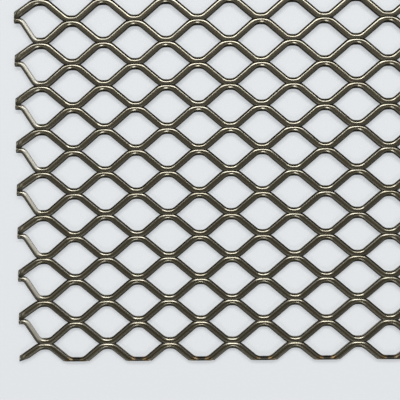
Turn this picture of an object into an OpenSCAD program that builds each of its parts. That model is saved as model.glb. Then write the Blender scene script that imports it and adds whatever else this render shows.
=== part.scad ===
// Expanded metal sheet: one slit and stretched steel sheet with diamond openings, lying flat.
// Frame: X runs along the long way of the diamonds, Y along the short way, Z is up.
// The sheet rests on z = 0, with the middle of its outline over the origin.

/* [Sheet] */
// width of the sheet along X, from cut edge to cut edge
sheet_width = 199; // [120:1:220]
// number of strand rows along Y
row_count = 29; // [15:2:33]

/* [Mesh] */
// long way of the diamonds, bond centre to bond centre along X
long_way = 20; // [18:0.1:24]
// short way of the diamonds, bond centre to bond centre along Y
short_way = 13.7; // [12.5:0.1:16]
// flat length of each bond along X
bond_length = 3.5; // [2.5:0.1:4.5]
// spacing of the two strands that meet in a bond
bond_spacing = 1.3; // [1:0.05:1.6]

/* [Strand] */
// width of each strand
strand_width = 2.4; // [2:0.05:2.8]
// thickness of the metal
strand_thickness = 1.6; // [1.2:0.1:2]
// tilt of each row, its far side up
row_tilt = 2.5; // [1:0.5:5]

/* [Left cut edge] */
// distance from the left cut edge to the first whole bond
edge_to_bond = 8.2; // [7.5:0.1:9]
// flat left on the half bonds at the left cut edge
edge_flat = 2.2; // [1.4:0.1:3]
// shift of those half bonds towards the far side
edge_lift = 1.1; // [0.5:0.1:1.5]
// width of the strand between those half bonds and the first whole bonds
edge_strand = 1.85; // [1.5:0.05:2.2]

/* [Near and far edges] */
// flat length of the free knuckles along the near and far edges
free_flat = 4.7; // [3:0.1:5.5]
// how much less those knuckles stand out than a bond does
free_inset = 0.55; // [0.2:0.05:1.2]
// width left on those knuckles by the straight cut along each edge
free_width = 1.1; // [0.8:0.1:2]

/* [Hidden] */
steel = [0.46, 0.44, 0.38];
half_long = long_way / 2;
row_pitch = short_way / 2;
half_rise = (row_pitch - bond_spacing) / 2;
half_flat = bond_length / 2;
half_strand = strand_width / 2;
column_count = ceil((sheet_width - edge_to_bond) / half_long) + 1;
step_y = round(row_pitch * cos(row_tilt) * 1000) / 1000;
step_z = round(row_pitch * sin(row_tilt) * 1000) / 1000;
reach_y = half_rise + half_strand;
last_row = row_count - 1;
mid_row = last_row / 2;
drop = reach_y * sin(row_tilt);
edge_low = edge_lift - half_rise;
edge_high = edge_lift + half_rise;
free_reach = half_rise - free_inset - half_strand + free_width;
centre_y = strand_thickness * sin(row_tilt) / 2;

// unit direction from one point to the next
function heading(a, b) = (b - a) / norm(b - a);

// a direction turned a quarter turn to the left
function turned(v) = [-v[1], v[0]];

// corner of a band beside point i of a path, at signed distance d from it
function corner(path, i, d) =
    let(last = len(path) - 1)
    let(before = turned(heading(path[max(i - 1, 0)], path[max(i, 1)])))
    let(after = turned(heading(path[min(i, last - 1)], path[min(i + 1, last)])))
    path[i] + d * (before + after) / (1 + before * after);

// closed outline of a band of half width d about a path
function band(path, d) =
    let(last = len(path) - 1)
    concat(
        [for (i = [0 : last]) corner(path, i, d)],
        [for (i = [last : -1 : 0]) corner(path, i, -d)]
    );

// side of the row on which a column's bond lies, far or near in turn
function bond_side(row, column) = (row + column) % 2 == 0 ? 1 : -1;

// whether a row starts in a half bond on its far side at the left cut edge
function hooked(row) = bond_side(row, 1) > 0;

// whether one side of a row, 1 its far or -1 its near side, is the edge of the sheet
function is_free(row, side) = (row == 0 && side < 0) || (row == last_row && side > 0);

// room for a row to one side of its middle, up to the straight cut at the sheet's edge
function side_room(row, side) = is_free(row, side) ? free_reach : row_pitch;

// flat of one bond in a row, column 0 being the first whole bond
function bond_flat(row, column) =
    let(side = bond_side(row, column))
    let(free = is_free(row, side))
    let(half = free ? free_flat / 2 : half_flat)
    let(x = edge_to_bond + column * half_long)
    let(y = side * (free ? half_rise - free_inset : half_rise))
    [[x - half, y], [x + half, y]];

// a leg of a row on its near side runs out past the left cut edge
function near_start(row) =
    let(first = bond_flat(row, 0)[0])
    let(cut = [0, edge_low])
    [2 * cut - first];

// centre line of one row from left to right
function row_path(row) = concat(
    hooked(row) ? [] : near_start(row),
    [for (c = [0 : column_count]) each bond_flat(row, c)]
);

// centre line of the narrower strand from the left cut edge to the first whole bond
function edge_path(row) = concat(
    [[-edge_flat, edge_high], [edge_flat, edge_high]],
    bond_flat(row, 0)
);

// one strand row lying in its own plane, cut off straight at the edges of the sheet
module strand_row(row) {
    near_room = side_room(row, -1);
    far_room = side_room(row, 1);
    linear_extrude(height = strand_thickness)
        intersection() {
            union() {
                polygon(band(row_path(row), half_strand));
                if (hooked(row))
                    polygon(band(edge_path(row), edge_strand / 2));
            }
            translate([0, -near_room])
                square([sheet_width, near_room + far_room]);
        }
}

// all rows, each bonded to the next along its flats
module expanded_sheet() {
    color(steel)
        translate([-sheet_width / 2, centre_y, drop])
            rotate([row_tilt, 0, 0])
                union() {
                    for (row = [0 : last_row])
                        translate([0, (row - mid_row) * step_y, -(row - mid_row) * step_z])
                            strand_row(row);
                }
}

expanded_sheet();
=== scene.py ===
import math

import bpy
from mathutils import Euler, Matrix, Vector


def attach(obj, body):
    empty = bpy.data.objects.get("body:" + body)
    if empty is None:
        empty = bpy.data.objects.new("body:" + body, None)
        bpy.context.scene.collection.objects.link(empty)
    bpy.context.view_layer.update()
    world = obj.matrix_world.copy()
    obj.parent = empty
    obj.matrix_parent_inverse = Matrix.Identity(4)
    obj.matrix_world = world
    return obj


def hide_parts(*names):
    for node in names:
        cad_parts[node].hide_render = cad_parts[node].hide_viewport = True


MM = 0.001

# sizes of the sheet, as in the part's source, in millimetres and degrees
SHEET_WIDTH = 199.0
ROWS = 29
LONG_WAY = 20.0
SHORT_WAY = 13.7
BOND_LENGTH = 3.5
BOND_SPACING = 1.3
STRAND_WIDTH = 2.4
STRAND_THICKNESS = 1.6
ROW_TILT = 2.5
EDGE_TO_BOND = 8.2
EDGE_FLAT = 2.2
EDGE_LIFT = 1.1
EDGE_STRAND = 1.85
FREE_FLAT = 4.7
FREE_INSET = 0.55
FREE_WIDTH = 1.1

# bonds along a row, the last one cut through by the right edge
COLUMNS = 20

# bends and section of a strand, in millimetres: legs run between the bonds, and the knuckles are
# the flats on a row's far side
STRAND_SHAPE = {
    "Bend reach": 1.4, "Edge bend reach": 1.2, "Unevenness": 0.05,
    "Leg bevel width": 0.59, "Bond bevel width": 0.48, "Far bevel depth": 0.36,
    "Leg slope width": 0.93, "Leg slope depth": 0.085,
    "Bond slope width": 0.84, "Bond slope depth": 0.26,
    "Near slope width": 0.7, "Near slope depth": 0.42,
    "Knuckle slope width": 1.05, "Knuckle slope depth": 0.72,
    "Edge slope width": 0.92, "Edge slope depth": 0.25, "Foot inset": 0.1,
    "Far edge round": 0.05, "Far brow round": 0.06, "Far ridge round": 0.22,
    "Leg ridge round": 0.03, "Knuckle ridge round": 0.09, "Near edge round": 0.08, "Foot round": 0.25,
}

# twist of the scraped strands at the left edge in degrees, and the unevenness: waves a metre and its seed
EDGE_TWIST = 8.0
WAVES = 70.0
WAVE_SEED = 7.0

# points round each edge of the strand's section, from its far edge over the top to its feet
EDGE_POINTS = (2, 2, 3, 2, 2, 2, 2)
BEND_POINTS = 5

# rings at each cut end: the outline of the end and the point in its middle
END_RINGS = 2.0

# added before rounding down, so that a whole number doesn't fall to the one below
HAIR = 0.0001

# points nearer than the first are joined, and a direction counts as at least as long as the second
JOIN_WITHIN = 1e-6
SHORTEST = 1e-7

# tones of the steel, some of them painted light, shade or sheen
PLAIN_STEEL = (0.50, 0.475, 0.385, 1.0)
OILED_STEEL = (0.44, 0.405, 0.31, 1.0)
DRAWN_LINE = (0.36, 0.335, 0.265, 1.0)
WORN_RIDGE = (0.60, 0.575, 0.49, 1.0)
# painted shade: the dark tone on the near half of the legs, which face away from the main light
DULL_LEG_PAINTED_SHADE = (0.20, 0.185, 0.145, 1.0)
# painted light and shade on the sheared walls: the far walls lit, the near walls, facing away from the main
# light, in shade
FAR_WALL_PAINTED_LIT = (0.32, 0.30, 0.24, 1.0)
NEAR_WALL_PAINTED_SHADE = (0.035, 0.032, 0.025, 1.0)
# painted dark reflection: the dark line along the far bevel
FAR_LIP_PAINTED_DARK = (0.135, 0.126, 0.103, 1.0)
# painted sheen: the lighter tone of the scraped strands, and of the lines in it
SATIN_PAINTED_SHEEN = (0.76, 0.745, 0.68, 1.0)
SATIN_SHEEN_LINE = (0.55, 0.53, 0.465, 1.0)
# dark tone over the whole flat of the free knuckles at the first and last rows, and over the cut ends
DARK_FREE_FLAT_AND_CUT_END = (0.05, 0.046, 0.038, 1.0)
BROWN_CUT = (0.30, 0.19, 0.085, 1.0)

# where one finish or painted light or shade gives way to the next: shares of the strand's width, of its
# height, or of the far bevel
LIP_END = (0.97, 1.14)
LIP_FOOT = (0.66, 0.74)
NEAR_HALF = (0.35, 0.65)
NEAR_WALL_TOP = (0.78, 0.90)
FAR_WALL_TOP = (0.66, 0.82)
DULL_START = (0.46, 0.62)
SATIN_END = (0.50, 0.66)
SATIN_FOOT = (0.60, 0.82)

# middle and half width of each worn ridge, as shares of the strand's width
RIDGES = ((0.38, 0.06), (0.70, 0.04))

# fineness of the drawn lines along, across and from row to row, of the pitting and of the stains
LINES_ALONG = 160.0
LINES_ACROSS = 8.0
LINES_ROW = 3.7
PITS_FINE = 1900.0
STAINS_FINE = 60.0

# where in their noise the lines, pits and stains begin to show and show in full
DEEP_LINES = (0.55, 0.80)
SATIN_LINES = (0.40, 0.75)
WORN_PITS = (0.35, 0.65)
OILY_STAINS = (0.35, 0.72)
BROWN_STAINS = (0.30, 0.50)

# roughness of the plain top, and strength and depth in metres of the relief
TOP_ROUGHNESS = 0.15
RELIEF_STRENGTH = 0.2
RELIEF_DEPTH = 0.00003

# the floor: its width and how far it lies below the sheet, in metres, its tone,
# and the light that it gives off to the eye and to the metal alone
FLOOR_WIDTH = 40.0
FLOOR_DROP = 0.0001
FLOOR_TONE = (0.80, 0.81, 0.83, 1.0)
FLOOR_GLOW = (0.41, 0.435, 0.465, 1.0)
NO_GLOW = (0.0, 0.0, 0.0, 1.0)

# light of the room all round, straight overhead, where it is dim, and low at the horizon
ROOM = (0.20, 0.187, 0.152, 1.0)
OVERHEAD = (0.08, 0.074, 0.058, 1.0)
DIM = (0.045, 0.042, 0.034, 1.0)
HORIZON = (0.55, 0.56, 0.57, 1.0)

# where these give way to one another: degrees from straight up, then shares of a direction's length
# towards the far side (+Y) or up
OVERHEAD_ANGLES = (30.0, 12.0)
PATCH_NEAR_END = (-0.55, -0.40)
PATCH_FAR_END = (-0.23, -0.10)
FAR_SIDE = (0.1, 0.4)
DIM_TOP = (0.26, 0.38)
DIM_TOP_RISE = 0.24
HORIZON_TOP = (0.04, 0.08)

# the spot on the sheet that the lights are set out around, in metres
LIT_SPOT = Vector((-0.04, -0.04, 0.0))

# soft lights: turn from +Y towards -X, spread to each side and span from overhead, all in degrees,
# and brightness
PANELS = {
    "far_light": (0.0, 26.0, (29.0, 46.0), 3.8),
    "far_right_light": (-38.0, 11.0, (36.0, 47.0), 3.4),
    "far_left_light": (38.0, 11.0, (36.0, 47.0), 2.4),
    "near_light": (180.0, 10.0, (43.0, 59.0), 3.4),
    "left_light": (90.0, 42.0, (36.0, 66.0), 0.22),
    "right_light": (-90.0, 42.0, (36.0, 66.0), 0.22),
}

# the camera: its place and the width that it sees of the floor, in metres, its turns in degrees,
# and its sensor in millimetres
CAMERA_PLACE = (-0.0377, -0.04275, 0.22)
VIEW_WIDTH = 0.1278
CAMERA_TURNS = (-1.1, 0.9, -0.65)
SENSOR_WIDTH = 36.0


class Wire:
    """A socket of a node tree that takes part in plain arithmetic."""

    def __init__(self, tree, socket):
        self.tree = tree
        self.socket = socket

    def node(self, kind, settings=None, sockets=None, out=0):
        """Adds any other node: its type, its settings and what goes into its sockets."""
        return add_node(self.tree, kind, settings, sockets, out)

    def math(self, operation, *values):
        return self.node("ShaderNodeMath", {"operation": operation}, dict(enumerate(values)))

    def __add__(self, other):
        return self.math("ADD", self, other)

    def __radd__(self, other):
        return self.math("ADD", other, self)

    def __sub__(self, other):
        return self.math("SUBTRACT", self, other)

    def __rsub__(self, other):
        return self.math("SUBTRACT", other, self)

    def __mul__(self, other):
        return self.math("MULTIPLY", self, other)

    def __rmul__(self, other):
        return self.math("MULTIPLY", other, self)

    def __truediv__(self, other):
        return self.math("DIVIDE", self, other)

    def __rtruediv__(self, other):
        return self.math("DIVIDE", other, self)

    def __neg__(self):
        return self.math("MULTIPLY", self, -1.0)

    def __mod__(self, other):
        return self.math("FLOORED_MODULO", self, other)

    def __abs__(self):
        return self.math("ABSOLUTE", self)

    def floor(self):
        return self.math("FLOOR", self)

    def root(self):
        return self.math("SQRT", self)

    def sine(self):
        return self.math("SINE", self)

    def cosine(self):
        return self.math("COSINE", self)

    def below(self, other):
        return self.math("LESS_THAN", self, other)

    def above(self, other):
        return self.math("GREATER_THAN", self, other)

    def least(self, other):
        return self.math("MINIMUM", self, other)

    def most(self, other):
        return self.math("MAXIMUM", self, other)

    def ramp(self, low, high):
        """0 at low, 1 at high, smooth between."""
        smooth = {"interpolation_type": "SMOOTHSTEP"}
        return self.node("ShaderNodeMapRange", smooth, {0: self, 1: low, 2: high})


def add_node(tree, kind, settings=None, sockets=None, out=0):
    made = tree.nodes.new(kind)
    for name, value in (settings or {}).items():
        setattr(made, name, value)
    for key, value in (sockets or {}).items():
        if isinstance(value, Wire):
            tree.links.new(value.socket, made.inputs[key])
        else:
            made.inputs[key].default_value = value
    return Wire(tree, made.outputs[out])


def pick(choice, yes, no):
    """yes where choice is 1, no where it is 0."""
    return no + choice * (yes - no)


def choose(number, values):
    """The value whose place in the list is number."""
    total = 0.0
    for place, value in enumerate(values):
        if isinstance(value, Wire) or value:
            total = (1.0 - abs(number - float(place)).least(1.0)) * value + total
    return total


def toward(a, b):
    """Unit direction from one point to another."""
    dx, dy = b[0] - a[0], b[1] - a[1]
    length = (dx * dx + dy * dy).root().most(SHORTEST)
    return dx / length, dy / length


def rounded(corner, into, out, reach, part):
    """Point of the curve that rounds a corner: reach before it at part 0, reach after it at part 1."""
    rest = 1.0 - part
    return [corner[i] + reach * (part * part * out[i] - rest * rest * into[i]) for i in (0, 1)]


def store(tree, geometry, name, value):
    return add_node(tree, "GeometryNodeStoreNamedAttribute", {"data_type": "FLOAT", "domain": "POINT"},
                    {"Geometry": geometry, "Name": name, "Value": value})


def recall(tree, name):
    return add_node(tree, "GeometryNodeInputNamedAttribute", {"data_type": "FLOAT"}, {"Name": name})


def strand_rows_tree(material):
    """Geometry nodes that lay out every strand row as a closed bar and join them all.

    Whole numbers, such as a row's or a ring's, are told apart by limits halfway between them.
    """
    tree = bpy.data.node_groups.new("strand_rows", "GeometryNodeTree")
    names = {}
    lengths = {
        "Sheet width": SHEET_WIDTH, "Long way": LONG_WAY, "Short way": SHORT_WAY,
        "Bond length": BOND_LENGTH, "Bond spacing": BOND_SPACING,
        "Strand width": STRAND_WIDTH, "Strand thickness": STRAND_THICKNESS,
        "Edge to bond": EDGE_TO_BOND, "Edge flat": EDGE_FLAT, "Edge lift": EDGE_LIFT,
        "Edge strand": EDGE_STRAND, "Free flat": FREE_FLAT, "Free inset": FREE_INSET,
        "Free width": FREE_WIDTH, **STRAND_SHAPE,
    }
    numbers = {"Row tilt": math.radians(ROW_TILT), "Edge twist": math.radians(EDGE_TWIST),
               "Seed": WAVE_SEED}
    counts = {"Rows": ROWS, "Columns": COLUMNS, "Bend points": BEND_POINTS}
    values = {**{n: v * MM for n, v in lengths.items()}, **numbers, **counts}
    for name, value in values.items():
        kind = "NodeSocketInt" if name in counts else "NodeSocketFloat"
        item = tree.interface.new_socket(name=name, in_out="INPUT", socket_type=kind)
        item.default_value = value
        names[name] = item.identifier
    tree.interface.new_socket(name="Geometry", in_out="OUTPUT", socket_type="NodeSocketGeometry")
    entry = tree.nodes.new("NodeGroupInput")
    given = {s.name: Wire(tree, s) for s in entry.outputs if s.name}

    half_long = given["Long way"] / 2.0
    pitch = given["Short way"] / 2.0
    half_rise = (pitch - given["Bond spacing"]) / 2.0
    bends = given["Columns"] * 2.0
    rings = bends * given["Bend points"] + 2.0 * END_RINGS
    around = float(sum(EDGE_POINTS))
    spokes = around + 1.0

    # one flat net of rings and spokes for each row, numbered before it takes its shape
    net = add_node(tree, "GeometryNodeMeshGrid", None, {"Vertices X": rings, "Vertices Y": int(spokes)})
    number = add_node(tree, "GeometryNodeInputIndex")
    net = store(tree, net, "ring", (number / spokes + HAIR).floor())
    net = store(tree, net, "spoke", number % spokes)
    places = add_node(tree, "GeometryNodeMeshLine", None, {"Count": given["Rows"]})
    places = store(tree, places, "row", number)
    rows = add_node(tree, "GeometryNodeInstanceOnPoints", None, {"Points": places, "Instance": net})
    rows = add_node(tree, "GeometryNodeRealizeInstances", None, {0: rows})
    row, ring, spoke = recall(tree, "row"), recall(tree, "ring"), recall(tree, "spoke")

    def side_of(column):
        """1 where the column's bond lies on the row's far side, -1 where it lies on the near side."""
        return 1.0 - 2.0 * ((row + column) % 2.0)

    # hooked rows begin with a half bond at the left cut edge, the others with a leg that is cut off
    hooked = side_of(1.0).above(0.0)
    start_y = given["Edge lift"] + pick(hooked, half_rise, -half_rise)

    def bond_corner(column, end):
        """One end of a bond's flat, 0 the left and 1 the right, and whether the knuckle is free."""
        side = side_of(column)
        free = row.below(0.5) * side.below(0.0) + row.above(given["Rows"] - 1.5) * side.above(0.0)
        half_flat = pick(free, given["Free flat"], given["Bond length"]) / 2.0
        x = given["Edge to bond"] + column * half_long + (2.0 * end - 1.0) * half_flat
        return x.least(given["Sheet width"]), side * (half_rise - free * given["Free inset"]), free

    first = bond_corner(0.0, 0.0)

    def corner(k):
        """Corner k of a row's centre line: 0 the left cut end, 1 the bend by it, then two for each bond."""
        x, y, free = bond_corner(((k - 2.0) / 2.0).floor(), k % 2.0)
        by_x = pick(hooked, given["Edge flat"], first[0] / 2.0)
        by_y = pick(hooked, start_y, (start_y + first[1]) / 2.0)
        at_by, at_start = k.below(1.5), k.below(0.5)
        x = pick(at_by, by_x, x) * (1.0 - at_start)
        y = pick(at_start, start_y, pick(at_by, by_y, y))
        return x, y, free * (1.0 - at_by)

    # centre line of the row, each corner rounded
    inner = (ring - END_RINGS).most(0.0).least(bends * given["Bend points"] - 1.0)
    bend = (inner / given["Bend points"] + HAIR).floor()
    along = (inner - bend * given["Bend points"]) / (given["Bend points"] - 1.0)
    here, before, after = corner(bend + 1.0), corner(bend), corner(bend + 2.0)
    into, out = toward(before, here), toward(here, after)
    in_first = bend.below(0.5)
    reach = pick(in_first, given["Edge bend reach"], given["Bend reach"])
    path_x, path_y = rounded(here, into, out, reach, along)
    head = toward((0.0, 0.0), [along * out[i] + (1.0 - along) * into[i] for i in (0, 1)])
    on_flat = pick((bend + 1.0) % 2.0, 1.0 - along, along) * (1.0 - in_first * (1.0 - hooked))
    free = here[2] * on_flat

    # the two cut ends stand square to the sheet, with a point in the middle of each to close it
    at_left, at_right = ring.below(1.5), ring.above(rings - 2.5)
    at_end = at_left + at_right
    cap = ring.below(0.5) + ring.above(rings - 1.5)
    path_x = pick(at_left, 0.0, pick(at_right, given["Sheet width"], path_x))
    path_y = pick(at_left, start_y, pick(at_right, after[1], path_y))
    across_x = pick(at_end, 0.0, -head[1])
    across_y = pick(at_left, 1.0 / into[0].most(0.1), pick(at_right, 1.0, head[0]))

    # a hooked row's strand is narrower from the edge to its first bond, and its leg is twisted and scraped
    nearing = bend.above(0.5) * bend.below(1.5) * (1.0 - along)
    narrow = hooked * (in_first + nearing)
    scraped = hooked * (1.0 - at_left) * (in_first * along + nearing)
    twist = scraped * given["Edge twist"]

    # section of the strand: a bevel and a slope on its far side, flat on top, a slope on its near side
    full, thick = given["Strand width"], given["Strand thickness"]
    wide = pick(narrow, given["Edge strand"], full)
    share = wide / full
    crown = side_of(((bend - 1.0) / 2.0).floor()).above(0.0) * on_flat * (1.0 - at_left)
    bevel = pick(on_flat, given["Bond bevel width"], given["Leg bevel width"]) * share
    far_slope = pick(on_flat, given["Bond slope width"], given["Leg slope width"]) * share
    far_slope = pick(scraped, given["Edge slope width"], far_slope)
    brow_depth = pick(on_flat, given["Bond slope depth"], given["Leg slope depth"])
    far_depth = pick(scraped, given["Edge slope depth"], brow_depth + given["Far bevel depth"])
    brow_depth = pick(scraped, given["Edge slope depth"] * (1.0 - bevel / far_slope), brow_depth)
    near_slope = pick(crown, given["Knuckle slope width"], given["Near slope width"]) * share
    near_depth = pick(crown, given["Knuckle slope depth"], given["Near slope depth"])
    foot = given["Foot inset"]
    edges_q = (0.0, bevel, far_slope, wide - near_slope, wide, wide - foot, foot)
    edges_z = (thick - far_depth, thick - brow_depth, thick, thick, thick - near_depth, 0.0, 0.0)
    near_ridge = pick(crown, given["Knuckle ridge round"], given["Leg ridge round"])
    rounds = [given["Far edge round"], given["Far brow round"], given["Far ridge round"], near_ridge,
              given["Near edge round"], given["Foot round"], given["Foot round"]]
    edge_count = float(len(rounds))
    step = around - 1.0 - (spoke % around)
    edge = choose(step, [float(e) for e, n in enumerate(EDGE_POINTS) for _ in range(n)])
    part = choose(step, [i / (n - 1) for n in EDGE_POINTS for i in range(n)])

    def edge_point(which):
        return choose(which, edges_q), choose(which, edges_z)

    mid = edge_point(edge)
    last, following = edge_point((edge - 1.0) % edge_count), edge_point((edge + 1.0) % edge_count)
    edge_reach = choose(edge, rounds) * share
    section_q, section_z = rounded(mid, toward(last, mid), toward(mid, following), edge_reach, part)
    offset = pick(cap, 0.0, wide / 2.0 - section_q)
    height = pick(cap, 0.0, section_z - thick / 2.0)
    turn_c, turn_s = twist.cosine(), twist.sine()
    leaned = offset * turn_c + height * turn_s
    z = height * turn_c - offset * turn_s + thick / 2.0 + wide / 2.0 * turn_s
    x = path_x + across_x * leaned

    # the near and far edges of the sheet are sheared off straight
    free_reach = half_rise - given["Free inset"] - full / 2.0 + given["Free width"]
    near_room = pick(row.below(0.5), free_reach, pitch)
    far_room = pick(row.above(given["Rows"] - 1.5), free_reach, pitch)
    y = (path_y + across_y * leaned).most(-near_room).least(far_room)

    # rows tilted one after another, all resting on the same level
    tilt_c, tilt_s = given["Row tilt"].cosine(), given["Row tilt"].sine()
    row_y = (row - (given["Rows"] - 1.0) / 2.0) * pitch
    place = add_node(tree, "ShaderNodeCombineXYZ", None, {
        0: x - given["Sheet width"] / 2.0,
        1: y * tilt_c - (z - thick / 2.0) * tilt_s + row_y,
        2: z * tilt_c + (y + half_rise + full / 2.0) * tilt_s})
    shaped = add_node(tree, "GeometryNodeSetPosition", None, {"Geometry": rows, "Position": place})

    # slight unevenness of the stretched mesh, none at the cut ends
    wave = add_node(tree, "ShaderNodeTexNoise", {"noise_dimensions": "4D"},
                    {"Vector": place, "W": given["Seed"], "Scale": WAVES, "Detail": 1.0}, 1)
    wave = add_node(tree, "ShaderNodeVectorMath", {"operation": "SUBTRACT"}, {0: wave, 1: (0.5, 0.5, 0.5)})
    much = given["Unevenness"] * 2.0 * (1.0 - at_end)
    much = add_node(tree, "ShaderNodeCombineXYZ", None, {0: much, 1: much, 2: 0.0})
    wave = add_node(tree, "ShaderNodeVectorMath", {"operation": "MULTIPLY"}, {0: wave, 1: much})
    shaped = add_node(tree, "GeometryNodeSetPosition", None, {"Geometry": shaped, "Offset": wave})

    # what the finish follows: places across, up and along, the sheared knuckles and ends, the scraped
    # strands and the knuckles
    finish = {"across": section_q / wide, "brow": section_q / bevel, "up": section_z / thick, "run": path_x,
              "cut": free.most(cap), "scraped": scraped, "crown": crown}
    for name, value in finish.items():
        shaped = store(tree, shaped, name, value)
    closed = add_node(tree, "GeometryNodeMergeByDistance", None,
                      {"Geometry": shaped, "Distance": JOIN_WITHIN})
    inside = 1.0 - (ring.below(1.0) + ring.above(rings - 2.0))
    smooth = add_node(tree, "GeometryNodeSetShadeSmooth", None, {"Geometry": closed, "Selection": inside})
    for name in ("ring", "spoke"):
        smooth = add_node(tree, "GeometryNodeRemoveAttribute", None, {"Geometry": smooth, "Name": name})
    painted = add_node(tree, "GeometryNodeSetMaterial", None, {"Geometry": smooth, "Material": material})
    leave = tree.nodes.new("NodeGroupOutput")
    tree.links.new(painted.socket, leave.inputs[0])
    return tree, {names[n]: v for n, v in values.items()}


def make_sheet(material):
    """The whole sheet as one plain mesh."""
    tree, inputs = strand_rows_tree(material)
    holder = bpy.data.objects.new("strand_layout", bpy.data.meshes.new("strand_layout"))
    bpy.context.scene.collection.objects.link(holder)
    maker = holder.modifiers.new("strand_rows", "NODES")
    maker.node_group = tree
    for identifier, value in inputs.items():
        maker[identifier] = value
    ready = holder.evaluated_get(bpy.context.evaluated_depsgraph_get())
    mesh = bpy.data.meshes.new_from_object(ready)
    mesh.name = "expanded_sheet_strands"
    holder.modifiers.clear()
    bpy.data.objects.remove(holder)
    sheet = bpy.data.objects.new("expanded_sheet_strands", mesh)
    bpy.context.scene.collection.objects.link(sheet)
    return sheet


def mixed(factor, first, second):
    """first where factor is 0, second where it is 1, both colours."""
    return factor.node("ShaderNodeMix", {"data_type": "RGBA"}, {0: factor, 6: first, 7: second}, 2)


def noise(place, scale, detail):
    return place.node("ShaderNodeTexNoise", None, {"Vector": place, "Scale": scale, "Detail": detail})


def bare_steel():
    """Bare rolled steel with a warm cast: glossy on top, duller on the near half of the legs with painted
    shade there, dark on the sheared sides with painted light on the far ones and painted shade on the near
    ones, a painted dark reflection along the far bevel, satin on the scraped strands with a lighter tone
    that paints their sheen, dark on the free knuckles and cut ends, brown by the cut knuckles."""
    material = bpy.data.materials.new("bare_steel")
    material.use_nodes = True
    tree = material.node_tree
    shader = tree.nodes["Principled BSDF"]
    shader.inputs["Metallic"].default_value = 1.0
    across, brow, up, run, row, cut, scraped, crown = [
        add_node(tree, "ShaderNodeAttribute", {"attribute_name": n}, None, 2)
        for n in ("across", "brow", "up", "run", "row", "cut", "scraped", "crown")]
    place = add_node(tree, "ShaderNodeTexCoord", None, None, 3)

    # drawn lines along each strand, fine pitting, and blotches of oil and handling
    strip = add_node(tree, "ShaderNodeCombineXYZ", None,
                     {0: run * LINES_ALONG, 1: across * LINES_ACROSS, 2: row * LINES_ROW})
    lines = noise(strip, 1.0, 3.0)
    pits = noise(place, PITS_FINE, 2.0)
    stains = noise(place, STAINS_FINE, 3.0)

    # where each finish and each painted light or shade lies
    # the far bevel, counted with the sheared sides and toned dark to paint the dark reflection along the
    # far edge
    painted_dark_lip = (1.0 - brow.ramp(*LIP_END)) * up.ramp(*LIP_FOOT) * (1.0 - scraped)
    near_side = across.ramp(*NEAR_HALF)
    # the walls reach higher on the near side, so the painted shade also covers the lower part of the near
    # slope
    above_walls = pick(near_side, up.ramp(*NEAR_WALL_TOP), up.ramp(*FAR_WALL_TOP))
    # sheared sides, darker and rougher, with painted shade on the near side and painted light on the far
    # side
    sheared_and_shaded = (1.0 - above_walls).most(painted_dark_lip).most(cut * 0.8)
    # scraped strands: a rougher satin, with a lighter tone that paints their sheen
    satin_and_sheen = scraped * (1.0 - across.ramp(*SATIN_END)) * up.ramp(*SATIN_FOOT)
    # duller near half of the legs, its dark tone painted shade on the side away from the main light
    dull_and_shaded = across.ramp(*DULL_START) * (1.0 - crown) * (1.0 - sheared_and_shaded)
    far_ridge, near_ridge = [1.0 - abs(across - middle) / half for middle, half in RIDGES]
    worn = far_ridge.most(near_ridge).most(0.0) * pits.ramp(*WORN_PITS)
    verge = cut * (1.0 - cut) * 4.0

    # how much of each finish and painted light or shade shows over the plain steel, and its tone, from the
    # lowest up
    # wall tone: painted light on the far walls, painted shade on the near walls, the painted dark line on
    # the far bevel
    wall_lit_and_shaded = mixed(painted_dark_lip, mixed(near_side, FAR_WALL_PAINTED_LIT, NEAR_WALL_PAINTED_SHADE), FAR_LIP_PAINTED_DARK)
    satin_sheen_tone = mixed(lines.ramp(*SATIN_LINES), SATIN_PAINTED_SHEEN, SATIN_SHEEN_LINE)
    tone = mixed(stains.ramp(*OILY_STAINS), PLAIN_STEEL, OILED_STEEL)
    for shows, colour in (
            (lines.ramp(*DEEP_LINES) * 0.35, DRAWN_LINE),
            (worn * 0.5, WORN_RIDGE),
            (dull_and_shaded * 0.85, DULL_LEG_PAINTED_SHADE),
            (sheared_and_shaded, wall_lit_and_shaded),
            (satin_and_sheen, satin_sheen_tone),
            (cut, DARK_FREE_FLAT_AND_CUT_END),
            (verge * stains.ramp(*BROWN_STAINS) * 0.8, BROWN_CUT)):
        tone = mixed(shows, tone, colour)
    tree.links.new(tone.socket, shader.inputs["Base Color"])

    # what each finish adds to the roughness
    rough = TOP_ROUGHNESS
    for finish, added in (
            (lines, 0.05),
            (stains, 0.03),
            (worn, -0.03),
            (sheared_and_shaded * (1.0 - painted_dark_lip * 0.75), 0.30),
            (satin_and_sheen, 0.30),
            (dull_and_shaded, 0.25)):
        rough = rough + finish * added
    tree.links.new(rough.socket, shader.inputs["Roughness"])

    relief = lines * 0.5 + pits * 0.3 + sheared_and_shaded * pits * 0.8
    bump = add_node(tree, "ShaderNodeBump", None,
                    {"Strength": RELIEF_STRENGTH, "Distance": RELIEF_DEPTH, "Height": relief})
    tree.links.new(bump.socket, shader.inputs["Normal"])
    return material


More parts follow.
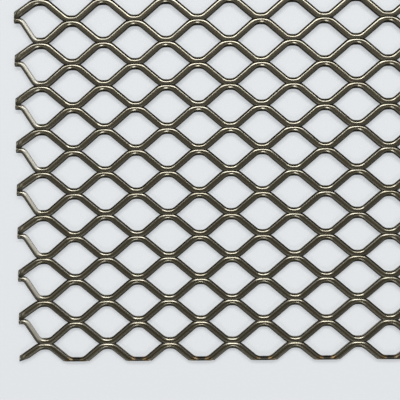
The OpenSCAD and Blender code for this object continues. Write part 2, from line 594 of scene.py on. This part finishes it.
def plain_floor():
    """A pale floor, near white to the eye and in the metal, that still takes the sheet's shadow."""
    bpy.ops.mesh.primitive_plane_add(size=FLOOR_WIDTH, location=(0.0, 0.0, -FLOOR_DROP))
    floor = bpy.context.object
    floor.name = "floor"
    material = bpy.data.materials.new("pale_floor")
    material.use_nodes = True
    tree = material.node_tree
    shader = tree.nodes["Principled BSDF"]
    shader.inputs["Base Color"].default_value = FLOOR_TONE
    shader.inputs["Roughness"].default_value = 0.9
    shader.inputs["Specular IOR Level"].default_value = 0.1
    shader.inputs["Emission Strength"].default_value = 1.0
    path = tree.nodes.new("ShaderNodeLightPath")
    seen = Wire(tree, path.outputs["Is Camera Ray"])
    for name in ("Is Glossy Ray", "Is Transmission Ray"):
        seen = seen.most(Wire(tree, path.outputs[name]))
    glow = mixed(seen, NO_GLOW, FLOOR_GLOW)
    tree.links.new(glow.socket, shader.inputs["Emission Color"])
    floor.data.materials.append(material)
    return floor


def soft_panel(name, turn, spread, span, brightness):
    """A soft light a metre off the lit spot, facing it."""
    high, low = [Vector((0.0, math.sin(math.radians(a)), math.cos(math.radians(a)))) for a in span]
    middle = (high + low) / 2
    lamp = bpy.data.lights.new(name, "AREA")
    lamp.shape = "RECTANGLE"
    lamp.size = 2 * middle.y * math.tan(math.radians(spread))
    lamp.size_y = (high - low).length
    lamp.energy = brightness * math.pi * lamp.size * lamp.size_y
    middle.rotate(Euler((0.0, 0.0, math.radians(turn))))
    holder = bpy.data.objects.new(name, lamp)
    holder.location = LIT_SPOT + middle
    holder.rotation_euler = (-middle).to_track_quat("-Z", "Y").to_euler()
    bpy.context.scene.collection.objects.link(holder)


def light_the_scene():
    """A soft room, dim in a patch overhead and low down, more so on the far side, and its lights."""
    world = bpy.data.worlds.new("room")
    bpy.context.scene.world = world
    world.use_nodes = True
    tree = world.node_tree
    toward_sky = add_node(tree, "ShaderNodeTexCoord")
    far, up = [add_node(tree, "ShaderNodeSeparateXYZ", None, {0: toward_sky}, axis) for axis in (1, 2)]
    overhead = up.ramp(*[math.cos(math.radians(a)) for a in OVERHEAD_ANGLES])
    room = mixed(overhead, ROOM, OVERHEAD)
    patch = far.ramp(*PATCH_NEAR_END) * (1.0 - far.ramp(*PATCH_FAR_END))
    room = mixed(patch, room, DIM)
    room = mixed((up - far.ramp(*FAR_SIDE) * DIM_TOP_RISE).ramp(*DIM_TOP), DIM, room)
    room = mixed(up.ramp(*HORIZON_TOP), HORIZON, room)
    tree.links.new(room.socket, tree.nodes["Background"].inputs["Color"])
    tree.nodes["Background"].inputs["Strength"].default_value = 1.0
    for name, settings in PANELS.items():
        soft_panel(name, *settings)


def place_camera():
    lens = bpy.data.cameras.new("camera")
    lens.sensor_width = SENSOR_WIDTH
    lens.lens = SENSOR_WIDTH * CAMERA_PLACE[2] / VIEW_WIDTH
    camera = bpy.data.objects.new("camera", lens)
    camera.location = CAMERA_PLACE
    camera.rotation_euler = [math.radians(a) for a in CAMERA_TURNS]
    bpy.context.scene.collection.objects.link(camera)
    bpy.context.scene.camera = camera


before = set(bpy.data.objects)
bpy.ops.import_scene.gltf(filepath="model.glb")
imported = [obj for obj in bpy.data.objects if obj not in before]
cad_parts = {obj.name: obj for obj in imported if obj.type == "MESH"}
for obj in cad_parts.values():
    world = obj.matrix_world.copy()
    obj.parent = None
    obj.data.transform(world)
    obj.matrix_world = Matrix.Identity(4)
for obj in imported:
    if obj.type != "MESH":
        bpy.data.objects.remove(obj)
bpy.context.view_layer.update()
sheet = make_sheet(bare_steel())
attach(sheet, "root")
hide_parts("expanded_sheet")
plain_floor()
light_the_scene()
place_camera()
bpy.context.scene.view_settings.view_transform = "Standard"
